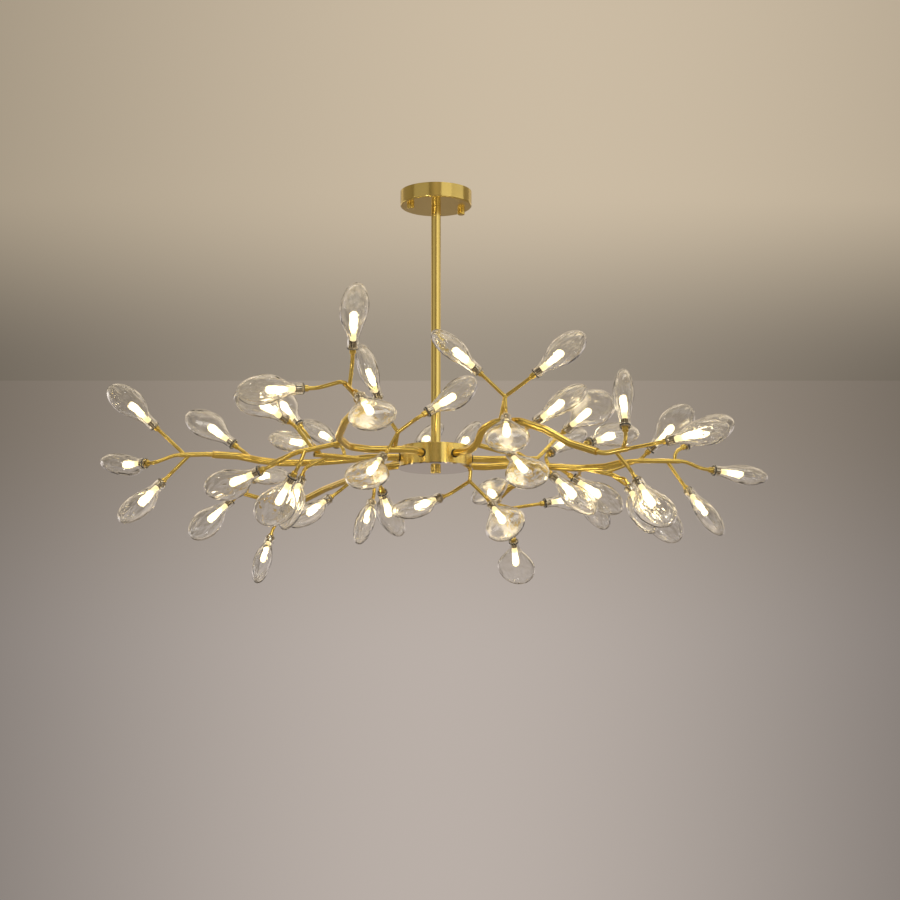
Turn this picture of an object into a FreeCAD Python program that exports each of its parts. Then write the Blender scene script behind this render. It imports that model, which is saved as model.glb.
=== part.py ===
"""Branch chandelier: ceiling canopy, down rod, hub drum and six branching brass arms.

Every arm is a bent tube that plugs into the hub and carries small twigs. Each twig ends in a
socket with a capsule lamp and a clear, flattened glass shade. Millimetres, +Z up, the origin at
the middle of the ceiling plane.
"""
import FreeCAD, Part
import math
import os
from dataclasses import dataclass, field

Vector = FreeCAD.Vector
UP = Vector(0, 0, 1)

# Fits
running_gap = 0.05            # radial gap of a shaft that turns or slides in its hole
seat_gap = 0.3                # gap between faces of pieces that move apart
fixed_gap = 0.02              # radial gap of a piece pressed or glued into another

# Ceiling bracket
bar_length = 108.0
bar_width = 20.0
bar_thickness = 2.0
bar_drop = 8.0                # how far the middle of the bar hangs below its feet
bar_foot_length = 26.0
bar_middle_length = 40.0
bar_angle = 23.0              # direction of the bar, seen from above
wing_length = 47.0            # reach of the cross plate that carries the driver and terminals
wing_width = 30.0
ceiling_hole_pitch = 72.0
ceiling_hole_radius = 2.6
canopy_stud_pitch = 92.0
canopy_stud_radius = 2.0
canopy_stud_spare = 5.5       # thread that stands out below the canopy

# Canopy cup and its two nuts
canopy_diameter = 120.0
canopy_height = 25.0
canopy_wall = 1.2
canopy_edge_radius = 2.5
canopy_nut_radius = 6.0
canopy_nut_height = 9.0
canopy_nut_knurls = 18
knurl_depth = 0.45

# Driver and terminal block in the canopy
driver_width = 24.0
driver_length = 58.0
driver_height = 12.0
driver_offset = 33.0
driver_corner_radius = 2.0
terminal_width = 14.0
terminal_length = 34.0
terminal_height = 11.0
terminal_offset = 33.0
terminal_ways = 3
terminal_well_radius = 2.0    # screw wells in the terminal block
terminal_well_depth = 3.0

# Nipple, rod and cable
nipple_radius = 5.0
nipple_bore_radius = 3.5
nut_height = 4.0
nut_across_flats = 15.0
rod_radius = 8.0
rod_wall = 1.2
rod_length = 418.0
rod_top_depth = 18.0          # rod's top end below the ceiling, inside the canopy
rod_bush_length = 10.0
cable_radius = 2.5
cable_tail = 3.0

# Hub drum
hub_radius = 60.0
hub_height = 33.0
hub_wall = 1.5
hub_edge_radius = 0.8
arm_hole_depth = 17.5         # arm holes below the drum's top face
hub_plate_overhang = 1.2
hub_plate_thickness = 2.0
stud_spare = 5.0              # thread of the hub stud that enters the finial
finial_radius = 8.5
finial_height = 8.0
connector_length = 26.0
connector_width = 12.0
connector_height = 9.0
connector_offset = 24.0

# Arm tubes
arm_radius = 6.0
arm_wall = 1.2
arm_root_stub = 25.0          # straight length of the arm outside the hub drum
arm_flange_radius = 8.0
arm_flange_thickness = 1.5
clamp_radius = 9.0
clamp_length = 9.0
grommet_radius = 7.2
grommet_lip = 1.0
bend_radius_limit = 42.0
tip_tube_radius = 4.0
tip_tube_wall = 0.9
tip_insert = 12.0             # tip tube's length inside the arm tube's end
twig_radius = 3.0
twig_wall = 0.9
twig_insert = 8.0             # end twig's length inside the tip tube
bead_radius = 4.1             # solder bead where three twigs meet
knee_length = 14.0            # straight end of a twig behind its socket

# Socket, along the lamp's axis from the twig's end
ferrule_radius = 4.8
ferrule_length = 8.0
ferrule_bore_depth = 5.5
ferrule_chamfer = 1.4
ring_radius = 5.4
ring_length = 13.0
ring_slots = 10
ring_slot_width = 1.3
ring_slot_depth = 1.2
ring_slot_length = 9.0
grip_thickness = 1.4          # toothed spring washer that grips the glass neck
grip_inset = 1.0              # washer's distance from the shade's mouth
grip_teeth = 10
grip_notch_width = 1.6
grip_notch_depth = 1.5
pin_radius = 2.0
pin_length = 6.0

# Lamp
lamp_base_radius = 4.4
lamp_base_length = 16.0
lamp_globe_radius = 6.4
lamp_globe_length = 29.0
lamp_shoulder = 13.0          # length over which the globe widens

# Glass shade
glass_wall = 1.5
neck_bore_radius = 7.2
neck_start = 8.5              # shade's mouth, from the twig's end
neck_length = 15.0
shade_body_length = 85.0
shade_width = 70.0
shade_thickness = 33.0
shade_widest = 0.54           # where along its body the shade is widest
shade_swell = 1.4             # below 1 the shade swells at once, above 1 it starts slowly
shade_stations = (0.07, 0.16, 0.27, 0.40, 0.54, 0.67, 0.79, 0.89, 0.96)

# Levels that follow from the sizes
wing_level = -bar_drop - bar_thickness
rod_top = -rod_top_depth
hub_top = rod_top - rod_length
hub_bottom = hub_top - hub_height
arm_level = hub_top - arm_hole_depth
plate_bottom = hub_bottom - hub_plate_thickness
rod_bore_radius = rod_radius - rod_wall
ring_start = ferrule_length
ring_end = ferrule_length + ring_length
globe_start = ring_end + lamp_base_length


@dataclass
class Light:
    """One lamp: its twig's end, measured from the arm's root, and where its shade points."""
    end: tuple
    yaw: float                # degrees from +X towards +Y
    pitch: float              # degrees above level
    roll: float               # turn of the shade's broad side, 0 is level


@dataclass
class Sprig:
    """Twigs that leave one point of a tube, or the top of a stem that stands on it."""
    start: tuple
    lights: list
    stem_foot: tuple = None


@dataclass
class Arm:
    """One branching arm. All points are measured from where it leaves the hub drum."""
    name: str
    azimuth: float
    main: list
    tip: list
    sprigs: list
    branch: list = field(default_factory=list)
    end_light: Light = None


ARMS = [
    Arm(
        "front_left", 248,
        main=[(-31, -44, -2), (-81, -62, -5), (-113, -84, -5), (-127, -139, 1), (-114, -200, 14),
              (-87, -252, 30), (-91, -284, 33)],
        tip=[(-98, -316, 39), (-107, -340, 45)],
        branch=[(-128, -109, -8), (-192, -129, -21), (-234, -125, -40)],
        sprigs=[
            Sprig((-97, -326, 41), [Light((-96, -339, 89), -84, 58, 60)]),
            Sprig((-94, -305, 35), [Light((-87, -346, 28), -67, -35, 20)]),
            Sprig((-37, -59, 23), [Light((-66, -64, 71), -111, 43, -65),
                                   Light((-57, -66, -13), -117, -36, -15),
                                   Light((2, -68, 49), 17, 33, -30)], stem_foot=(-42, -49, 0)),
            Sprig((-192, -129, -21), [Light((-241, -130, -47), 155, -18, 20)]),
            Sprig((-167, -124, -16), [Light((-204, -125, 27), -135, 21, 15)]),
            Sprig((-179, -127, -19), [Light((-193, -137, -53), 131, -44, 10)]),
        ],
        end_light=Light((-159, -344, 37), -159, -6, 20)),
    Arm(
        "left", 188,
        main=[(-46, 13, 2), (-91, 33, 1), (-150, 43, -2), (-199, 38, -3), (-234, 23, -1), (-265, -2, 2),
              (-304, -22, 1)],
        tip=[(-355, -42, -3)],
        branch=[(-66, 18, 2), (-139, -17, 2)],
        sprigs=[
            Sprig((-347, -40, -1), [Light((-390, -44, 38), -143, 35, 5)]),
            Sprig((-339, -37, -3), [Light((-379, -35, -42), -139, -44, -5)]),
            Sprig((-242, 13, 2), [Light((-267, 15, 19), 164, 36, -30)]),
            Sprig((-114, -4, 0), [Light((-159, 5, -28), -114, -60, 40)]),
            Sprig((-134, -15, 2), [Light((-160, -7, 47), 148, 47, -15)]),
            Sprig((-128, -12, 2), [Light((-143, -35, 15), -114, -5, -15)]),
            Sprig((-90, 8, 2), [Light((-99, 14, 22), 126, 26, 20)]),
        ],
        end_light=Light((-402, -58, -19), 137, 4, 10)),
    Arm(
        "rear_left", 128,
        main=[(-50, 48, 0), (-120, 173, -3), (-164, 263, -5), (-208, 328, -16)],
        tip=[(-266, 338, -17), (-316, 303, -7)],
        sprigs=[
            Sprig((-310, 307, -8), [Light((-299, 300, 17), -59, -1, 0)]),
            Sprig((-233, 335, -17), [Light((-266, 333, -78), -108, -55, 65)]),
            Sprig((-100, 143, -2), [Light((-145, 161, -33), -137, -33, -5)]),
            Sprig((-68, 83, -1), [Light((-72, 96, -48), -103, -44, 65)]),
            Sprig((-59, 68, 0), [Light((-56, 46, -36), 75, -38, 40)]),
            Sprig((-50, 48, 0), [Light((5, 90, 40), 74, 25, -40)]),
        ],
        end_light=Light((-329, 293, -15), -175, -44, -45)),
    Arm(
        "front_right", 302,
        main=[(24, -41, -2), (36, -61, 6), (42, -77, 25), (63, -99, 33), (101, -124, 30), (139, -149, 12),
              (176, -174, -14), (215, -199, -31)],
        tip=[(260, -219, -30)],
        branch=[(36, -57, 1), (72, -44, -4), (99, -34, -5), (115, -24, -14), (132, -19, -12)],
        sprigs=[
            Sprig((252, -216, -30), [Light((257, -219, -4), 90, 68, 90)]),
            Sprig((242, -211, -31), [Light((270, -217, -72), -56, -50, 10)]),
            Sprig((78, -119, 70), [Light((42, -132, 102), -145, 32, -20),
                                   Light((118, -126, 99), -14, 37, -15),
                                   Light((79, -129, 39), -90, -40, 0)], stem_foot=(70, -104, 33)),
            Sprig((113, -134, 21), [Light((120, -106, 27), -31, 29, 10)]),
            Sprig((191, -179, -20), [Light((200, -155, -12), 39, 19, 20)]),
            Sprig((132, -19, -12), [Light((175, 2, 34), -43, 28, -30)]),
            Sprig((83, -39, -4), [Light((84, -63, -8), -60, -37, 25)]),
        ],
        end_light=Light((311, -234, -22), -30, 7, -10)),
    Arm(
        "right", 8,
        main=[(63, -3, -1), (122, 22, -9), (180, 27, -11), (220, 7, -12), (245, -8, -8)],
        tip=[(284, -13, -5), (342, -8, -5)],
        branch=[(185, 27, -11), (234, 42, -19), (246, 38, -26)],
        sprigs=[
            Sprig((321, -11, -6), [Light((350, -7, -47), -42, -50, -20)]),
            Sprig((333, -8, -5), [Light((347, 4, 19), 22, 32, 30)]),
            Sprig((222, 38, -17), [Light((292, 45, 16), -17, 44, -30)]),
            Sprig((232, 41, -19), [Light((273, 52, -49), 1, -47, -30)]),
            Sprig((246, 38, -26), [Light((258, 23, -37), -61, -54, -25)]),
            Sprig((120, 21, -9), [Light((127, 3, -21), -26, -43, 15)]),
            Sprig((140, 24, -10), [Light((161, 36, -20), 7, -34, -20)]),
            Sprig((182, 26, -11), [Light((186, 80, -24), 62, -40, 35)]),
            Sprig((130, 23, -9), [Light((127, 28, 12), 55, 30, 0)]),
        ],
        end_light=Light((390, -2, -18), 23, -4, 10)),
    Arm(
        "rear_right", 68,
        main=[(60, 22, -2), (106, 29, 2), (145, 49, 2), (151, 104, -2), (132, 184, 0), (107, 234, -5),
              (85, 254, -24)],
        tip=[(115, 274, -39)],
        sprigs=[
            Sprig((92, 248, -18), [Light((87, 223, -30), -104, 5, 30)]),
            Sprig((110, 271, -37), [Light((163, 275, -29), 14, 10, -20)]),
            Sprig((43, 18, -3), [Light((12, 47, 28), 71, 29, -45)]),
            Sprig((34, 6, -29), [Light((67, 5, -64), -64, -38, 45), Light((-10, -2, -56), -139, -21, -10)],
                  stem_foot=(36, 14, -6)),
        ],
        end_light=Light((115, 282, -89), 82, -44, 10)),
]


def cylinder(radius, length, base, axis=UP):
    """A solid cylinder that starts at base and runs along axis."""
    return Part.makeCylinder(radius, length, base, axis)


def ring(outer, inner, length, base, axis=UP):
    """A straight tube, or a washer when it is short."""
    return cylinder(outer, length, base, axis).cut(cylinder(inner, length + 2, base - axis, axis))


def hexagon(across_flats, height, base):
    """A hexagonal prism standing on base."""
    corner = across_flats / math.sqrt(3)
    angles = [math.radians(60 * i) for i in range(6)]
    points = [base + Vector(corner * math.cos(angle), corner * math.sin(angle), 0) for angle in angles]
    return Part.Face(Part.makePolygon(points + [points[0]])).extrude(UP * height)


def save(name, solids):
    """Write one node: its solids become a compound when there are several."""
    shape = solids[0] if len(solids) == 1 else Part.makeCompound(solids)
    shape.exportStep("parts/" + name + ".step")


def on_bar(along, across, level):
    """A point given along and across the ceiling bar."""
    angle = math.radians(bar_angle)
    return Vector(along * math.cos(angle) - across * math.sin(angle),
                  along * math.sin(angle) + across * math.cos(angle), level)


def bar_box(length, width, height, along, across, level):
    """A box centred on (along, across) of the bar, its underside at level."""
    box = Part.makeBox(length, width, height, Vector(-length / 2, -width / 2, 0))
    box.rotate(Vector(0, 0, 0), UP, bar_angle)
    return box.translated(on_bar(along, across, level))


def rounded_path(points, radius_limit=bend_radius_limit):
    """Straight runs joined by tangent arcs, each arc as large as its runs allow."""
    edges = []
    last = points[0]
    for before, corner, after in zip(points, points[1:], points[2:]):
        to_corner = corner - before
        from_corner = after - corner
        half_turn = to_corner.getAngle(from_corner) / 2
        if half_turn < math.radians(0.3):
            continue
        shorter = min(to_corner.Length, from_corner.Length)
        radius = min(0.45 * shorter / math.tan(half_turn), radius_limit)
        reach = radius * math.tan(half_turn)
        to_corner.normalize()
        from_corner.normalize()
        start = corner - to_corner * reach
        end = corner + from_corner * reach
        middle = corner + (from_corner - to_corner).normalize() * (radius / math.cos(half_turn) - radius)
        edges.append(Part.LineSegment(last, start).toShape())
        edges.append(Part.Arc(start, middle, end).toShape())
        last = end
    edges.append(Part.LineSegment(last, points[-1]).toShape())
    return Part.Wire(edges)


def swept(path, radius):
    """A round bar along a path."""
    first = path.OrderedEdges[0]
    start = first.valueAt(first.FirstParameter)
    profile = Part.Wire(Part.Circle(start, first.tangentAt(first.FirstParameter), radius).toShape())
    return path.makePipe(Part.Face(profile))


def swept_tube(path, radius, wall):
    """A round tube along a path, and the same tube with its bore filled."""
    solid = swept(path, radius)
    return solid.cut(swept(path, radius - wall)), solid


def nearest_on(path, point):
    """The point of a path that lies nearest to point."""
    return path.distToShape(Part.Vertex(point))[1][0][0]


def shade_outline(along, width, thickness, neck):
    """Half width and half thickness of the shade's body, along from 0 at the neck to 1 at the tip."""
    if along < shade_widest:
        growth = math.sin(math.pi / 2 * along / shade_widest) ** shade_swell
        return neck + (width - neck) * growth, neck + (thickness - neck) * growth
    closing = math.sqrt(1 - ((along - shade_widest) / (1 - shade_widest)) ** 2)
    return width * closing, thickness * closing


def shade_form(neck, inset):
    """The closed form of the shade, drawn inset from its outer face, along +Z from its mouth."""
    length = shade_body_length - inset
    sections = [Part.Wire(Part.Circle(Vector(0, 0, neck_length), UP, neck).toShape())]
    for along in shade_stations:
        half_width, half_thickness = shade_outline(along, shade_width / 2 - inset,
                                                   shade_thickness / 2 - inset, neck)
        middle = Vector(0, 0, neck_length + along * length)
        sections.append(Part.Wire(Part.Ellipse(middle, half_width, half_thickness).toShape()))
    sections.append(Part.Vertex(Vector(0, 0, neck_length + length)))
    return Part.makeLoft(sections, True)


def make_shade():
    """One clear glass shade: a round neck that opens into a flattened pod."""
    outer_neck = neck_bore_radius + glass_wall
    outer = shade_form(outer_neck, 0).fuse(cylinder(outer_neck, neck_length, Vector(0, 0, 0)))
    inner = shade_form(neck_bore_radius, glass_wall)
    inner = inner.fuse(cylinder(neck_bore_radius, neck_length + 1, Vector(0, 0, -1)))
    shade = outer.cut(inner)
    return shade.Solids[0].translated(Vector(0, 0, neck_start))


def make_ferrule():
    """Brass cup on the twig's end."""
    cup = cylinder(ferrule_radius, ferrule_length, Vector(0, 0, 0))
    rim = [edge for edge in cup.Edges if edge.BoundBox.ZMax < ferrule_length / 2]
    cup = cup.makeChamfer(ferrule_chamfer, rim)
    return cup.cut(cylinder(twig_radius + fixed_gap, ferrule_bore_depth + 1, Vector(0, 0, -1)))


def make_socket():
    """Slotted lamp socket with the toothed spring washer that grips the glass neck."""
    body = cylinder(ring_radius, ring_length, Vector(0, 0, ring_start))
    grip_radius = neck_bore_radius - running_gap
    grip_start = neck_start + grip_inset
    body = body.fuse(cylinder(grip_radius, grip_thickness, Vector(0, 0, grip_start)))
    slot_base = Vector(ring_radius - ring_slot_depth, -ring_slot_width / 2, ring_end - ring_slot_length)
    slot = Part.makeBox(ring_slot_depth + 1, ring_slot_width, ring_slot_length, slot_base)
    notch = Part.makeBox(grip_notch_depth + 1, grip_notch_width, grip_thickness + 1,
                         Vector(grip_radius - grip_notch_depth, -grip_notch_width / 2, grip_start - 0.5))
    cuts = [slot.rotated(Vector(0, 0, 0), UP, 360 / ring_slots * i) for i in range(ring_slots)]
    cuts += [notch.rotated(Vector(0, 0, 0), UP, 360 / grip_teeth * (i + 0.5)) for i in range(grip_teeth)]
    cuts.append(cylinder(pin_radius + fixed_gap, pin_length + 1, Vector(0, 0, ring_end - pin_length)))
    return body.cut(cuts).Solids[0]


def make_lamp():
    """Capsule lamp: a pin block, a slim base and a domed frosted globe, as one lathe-turned form."""
    pin_start = ring_end - pin_length + fixed_gap
    dome_start = globe_start + lamp_globe_length - lamp_globe_radius
    top = globe_start + lamp_globe_length
    side = math.sqrt(0.5) * lamp_globe_radius
    outline = [
        Part.LineSegment(Vector(0, 0, pin_start), Vector(pin_radius, 0, pin_start)),
        Part.LineSegment(Vector(pin_radius, 0, pin_start), Vector(pin_radius, 0, ring_end)),
        Part.LineSegment(Vector(pin_radius, 0, ring_end), Vector(lamp_base_radius, 0, ring_end)),
        Part.LineSegment(Vector(lamp_base_radius, 0, ring_end), Vector(lamp_base_radius, 0, globe_start)),
        Part.LineSegment(Vector(lamp_base_radius, 0, globe_start),
                         Vector(lamp_globe_radius, 0, globe_start + lamp_shoulder)),
        Part.LineSegment(Vector(lamp_globe_radius, 0, globe_start + lamp_shoulder),
                         Vector(lamp_globe_radius, 0, dome_start)),
        Part.Arc(Vector(lamp_globe_radius, 0, dome_start), Vector(side, 0, dome_start + side),
                 Vector(0, 0, top)),
        Part.LineSegment(Vector(0, 0, top), Vector(0, 0, pin_start)),
    ]
    face = Part.Face(Part.Wire([piece.toShape() for piece in outline]))
    return face.revolve(Vector(0, 0, 0), UP, 360)


def aim(light):
    """Unit vector along the light's shade."""
    yaw = math.radians(light.yaw)
    pitch = math.radians(light.pitch)
    return Vector(math.cos(pitch) * math.cos(yaw), math.cos(pitch) * math.sin(yaw), math.sin(pitch))


def light_placement(light, end):
    """Placement that stands the +Z pieces of one light on its twig's end."""
    forward = aim(light)
    level = UP.cross(forward).normalize()
    upright = forward.cross(level)
    roll = math.radians(light.roll)
    broad = level * math.cos(roll) + upright * math.sin(roll)
    flat = forward.cross(broad)
    turn = FreeCAD.Matrix(broad.x, flat.x, forward.x, end.x,
                          broad.y, flat.y, forward.y, end.y,
                          broad.z, flat.z, forward.z, end.z,
                          0, 0, 0, 1)
    return FreeCAD.Placement(turn)


def placed(shape, placement):
    """A copy of shape, carried from the light's own frame to placement."""
    copy = shape.copy()
    copy.Placement = placement.multiply(shape.Placement)
    return copy


class ArmBuilder:
    """Builds the solids of one arm from its points and the shared light pieces."""

    def __init__(self, arm, light_pieces):
        self.arm = arm
        self.ferrule, self.socket, self.lamp, self.shade = light_pieces
        angle = math.radians(arm.azimuth)
        self.outward = Vector(math.cos(angle), math.sin(angle), 0)
        self.root = self.outward * hub_radius + UP * arm_level
        self.tubes = []           # centre line and filled solid of each tube that twigs leave
        self.blanks = []          # filled solids that later pieces are coped against
        self.twigs = []
        self.sockets = []
        self.lamps = []
        self.shades = []

    def place(self, point):
        """A point of the arm in the frame of the whole."""
        return self.root + Vector(*point)

    def coped(self, piece):
        """The main part of piece that stays outside what it meets, its end shaped to fit."""
        near = [blank for blank in self.blanks if blank.BoundBox.intersect(piece.BoundBox)]
        rest = piece.cut(near) if near else piece
        return max(rest.Solids, key=lambda solid: solid.Volume)

    def make_main_tube(self):
        """The stout tube from inside the hub drum, with the flange that keeps it there."""
        inner_end = self.root - self.outward * (hub_wall + clamp_length + seat_gap + arm_flange_thickness)
        points = [inner_end, self.root + self.outward * arm_root_stub]
        points += [self.place(p) for p in self.arm.main]
        path = rounded_path(points)
        tube, filled = swept_tube(path, arm_radius, arm_wall)
        flange = ring(arm_flange_radius, arm_radius - arm_wall, arm_flange_thickness,
                      inner_end, self.outward)
        self.tubes.append((path, filled))
        self.blanks.append(filled)
        self.main_end = points[-1]
        self.main_direction = (points[-1] - points[-2]).normalize()
        return tube.fuse(flange).removeSplitter()

    def make_tip_tubes(self):
        """The slimmer tube seated in the stout tube's end, its bush, and the side branch."""
        bush_start = self.main_end - self.main_direction * tip_insert
        bush = ring(arm_radius - arm_wall - fixed_gap, tip_tube_radius + fixed_gap, tip_insert,
                    bush_start, self.main_direction)
        points = [bush_start, self.main_end + self.main_direction * tip_insert]
        points += [self.place(p) for p in self.arm.tip]
        path = rounded_path(points)
        tube, filled = swept_tube(path, tip_tube_radius, tip_tube_wall)
        self.tubes.append((path, filled))
        self.tip_end = points[-1]
        self.tip_direction = (points[-1] - points[-2]).normalize()
        pieces = [tube, bush]
        if self.arm.branch:
            points = [self.place(p) for p in self.arm.branch]
            points[0] = nearest_on(self.tubes[0][0], points[0])
            path = rounded_path(points)
            branch, branch_filled = swept_tube(path, tip_tube_radius, tip_tube_wall)
            pieces.append(self.coped(branch))
            branch_filled = self.coped(branch_filled)
            self.tubes.append((path, branch_filled))
            self.blanks.append(branch_filled)
        self.blanks.append(filled)
        return pieces

    def nearest_tube_point(self, point):
        """The point nearest to point on the centre line of any tube."""
        paths = [tube[0] for tube in self.tubes]
        return nearest_on(min(paths, key=lambda path: path.distToShape(Part.Vertex(point))[0]), point)

    def add_light(self, light, path, cope):
        """Add the twig along path, with its ferrule, socket and lamp; returns the shade."""
        twig, filled = swept_tube(path, twig_radius, twig_wall)
        self.twigs.append(self.coped(twig) if cope else twig)
        self.blanks.append(filled)
        placement = light_placement(light, self.place(light.end))
        self.twigs.append(placed(self.ferrule, placement))
        self.sockets.append(placed(self.socket, placement))
        self.lamps.append(placed(self.lamp, placement))
        return placed(self.shade, placement)

    def add_sprig(self, sprig):
        """Add the twigs of one sprig, with its stem and bead if it stands off the tube."""
        if sprig.stem_foot is None:
            start = self.nearest_tube_point(self.place(sprig.start))
        else:
            foot = self.nearest_tube_point(self.place(sprig.stem_foot))
            start = self.place(sprig.start)
            bead = Part.makeSphere(bead_radius, start)
            self.twigs.append(bead)
            self.blanks.append(bead)
            stem, filled = swept_tube(rounded_path([foot, start]), twig_radius, twig_wall)
            self.twigs.append(self.coped(stem))
            self.blanks.append(filled)
        for light in sprig.lights:
            end = self.place(light.end)
            forward = aim(light)
            knee = end - forward * min(knee_length, (end - start).Length / 2)
            path = rounded_path([start, knee, end + forward * (ferrule_bore_depth - 0.5)])
            self.shades.append(self.add_light(light, path, True))

    def add_end_light(self):
        """Add the light whose twig plugs into the tip tube's end."""
        light = self.arm.end_light
        end = self.place(light.end)
        forward = aim(light)
        knee = end - forward * min(knee_length, (end - self.tip_end).Length / 3)
        start = self.tip_end - self.tip_direction * twig_insert
        outside = self.tip_end + self.tip_direction * twig_insert
        path = rounded_path([start, outside, knee, end + forward * (ferrule_bore_depth - 0.5)])
        self.end_shade = self.add_light(light, path, False)

    def write(self):
        """Build the arm and write its nodes."""
        name = self.arm.name
        save(name + "_main_tube", [self.make_main_tube()])
        save(name + "_tip_tubes", self.make_tip_tubes())
        self.add_end_light()
        for sprig in self.arm.sprigs:
            self.add_sprig(sprig)
        save(name + "_twigs", self.twigs)
        save(name + "_sockets", self.sockets)
        save(name + "_lamps", self.lamps)
        save(name + "_shades", self.shades)
        save(name + "_end_shade", [self.end_shade])


def make_mounting_bar():
    """Pressed strip whose feet lie on the ceiling, with a cross plate under its middle."""
    half = bar_length / 2
    foot = half - bar_foot_length
    middle = bar_middle_length / 2
    top = [(-half, 0), (-foot, 0), (-middle, -bar_drop), (middle, -bar_drop), (foot, 0), (half, 0)]
    lower = [(x, z - bar_thickness) for x, z in reversed(top)]
    points = [Vector(x, -bar_width / 2, z) for x, z in top + lower]
    strip = Part.Face(Part.makePolygon(points + [points[0]])).extrude(Vector(0, bar_width, 0))
    strip.rotate(Vector(0, 0, 0), UP, bar_angle)
    wing = bar_box(wing_width, 2 * wing_length, bar_thickness, 0, 0, wing_level)
    bar = strip.fuse(wing).removeSplitter()
    holes = [cylinder(nipple_radius, bar_drop + 4, Vector(0, 0, -bar_drop - bar_thickness - 1))]
    for side in (-1, 1):
        holes.append(cylinder(ceiling_hole_radius, bar_thickness + 2,
                              on_bar(side * ceiling_hole_pitch / 2, 0, -bar_thickness - 1)))
        holes.append(cylinder(canopy_stud_radius, bar_thickness + 2,
                              on_bar(side * canopy_stud_pitch / 2, 0, -bar_thickness - 1)))
    return bar.cut(holes)


def make_canopy_cup():
    """Spun cup with a rounded lower edge, a hole for the rod and two for its studs."""
    outer = cylinder(canopy_diameter / 2, canopy_height, Vector(0, 0, -canopy_height))
    low = [edge for edge in outer.Edges if edge.BoundBox.ZMax < -canopy_height / 2]
    outer = outer.makeFillet(canopy_edge_radius, low)
    inner_radius = canopy_diameter / 2 - canopy_wall
    inner = cylinder(inner_radius, canopy_height, Vector(0, 0, canopy_wall - canopy_height))
    low = [edge for edge in inner.Edges if edge.BoundBox.ZMax < -canopy_height / 2]
    inner = inner.makeFillet(canopy_edge_radius - canopy_wall, low)
    holes = [cylinder(rod_radius + seat_gap, 3 * canopy_wall, Vector(0, 0, -canopy_height - canopy_wall))]
    for side in (-1, 1):
        holes.append(cylinder(canopy_stud_radius + seat_gap, 3 * canopy_wall,
                              on_bar(side * canopy_stud_pitch / 2, 0, -canopy_height - canopy_wall)))
    return outer.cut([inner] + holes)


def make_canopy_nut(base):
    """Knurled cap nut that screws up under the canopy; base is the middle of its top face."""
    nut = cylinder(canopy_nut_radius, canopy_nut_height, base - UP * canopy_nut_height)
    low = [edge for edge in nut.Edges if edge.BoundBox.ZMax < base.z - canopy_nut_height / 2]
    nut = nut.makeFillet(canopy_nut_radius / 4, low)
    groove = cylinder(knurl_depth, canopy_nut_height - canopy_nut_radius / 4,
                      base + Vector(canopy_nut_radius, 0, canopy_nut_radius / 4 - canopy_nut_height))
    cuts = [groove.rotated(base, UP, 360 / canopy_nut_knurls * i) for i in range(canopy_nut_knurls)]
    bore_depth = canopy_stud_spare + seat_gap
    cuts.append(cylinder(canopy_stud_radius + running_gap, bore_depth + 1, base - UP * bore_depth))
    return nut.cut(cuts)


def write_ceiling_parts():
    """Bracket, studs, canopy, driver, terminals, nipple and its nuts."""
    save("mounting_bar", [make_mounting_bar()])
    studs = [cylinder(canopy_stud_radius, canopy_height + canopy_stud_spare,
                      on_bar(side * canopy_stud_pitch / 2, 0, -canopy_height - canopy_stud_spare))
             for side in (-1, 1)]
    save("canopy_studs", studs)
    save("canopy_cup", [make_canopy_cup()])
    save("canopy_nuts", [make_canopy_nut(on_bar(side * canopy_stud_pitch / 2, 0, -canopy_height))
                         for side in (-1, 1)])
    driver = bar_box(driver_length, driver_width, driver_height, 0, driver_offset,
                     wing_level - driver_height)
    upright = [edge for edge in driver.Edges if edge.BoundBox.ZLength > driver_height - 1]
    save("led_driver", [driver.makeFillet(driver_corner_radius, upright)])
    terminal = bar_box(terminal_length, terminal_width, terminal_height, 0, -terminal_offset,
                       wing_level - terminal_height)
    pitch = terminal_length / terminal_ways
    wells = [cylinder(terminal_well_radius, terminal_well_depth + 1,
                      on_bar((i - (terminal_ways - 1) / 2) * pitch, -terminal_offset,
                             wing_level - terminal_height - 1)) for i in range(terminal_ways)]
    save("terminal_block", [terminal.cut(wells)])
    nipple_top = -bar_drop + nut_height
    nipple_bottom = rod_top - rod_bush_length - seat_gap - nut_height
    save("rod_nipple", [ring(nipple_radius, nipple_bore_radius, nipple_top - nipple_bottom,
                             Vector(0, 0, nipple_bottom))])
    upper = hexagon(nut_across_flats, nut_height, Vector(0, 0, -bar_drop))
    lower = hexagon(nut_across_flats, nut_height, Vector(0, 0, wing_level - nut_height))
    bore = cylinder(nipple_radius, canopy_height, Vector(0, 0, -canopy_height + 1))
    carrier = ring(rod_bore_radius - seat_gap, nipple_radius, nut_height, Vector(0, 0, nipple_bottom))
    save("nipple_nuts", [upper.cut(bore), lower.cut(bore), carrier])


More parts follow.
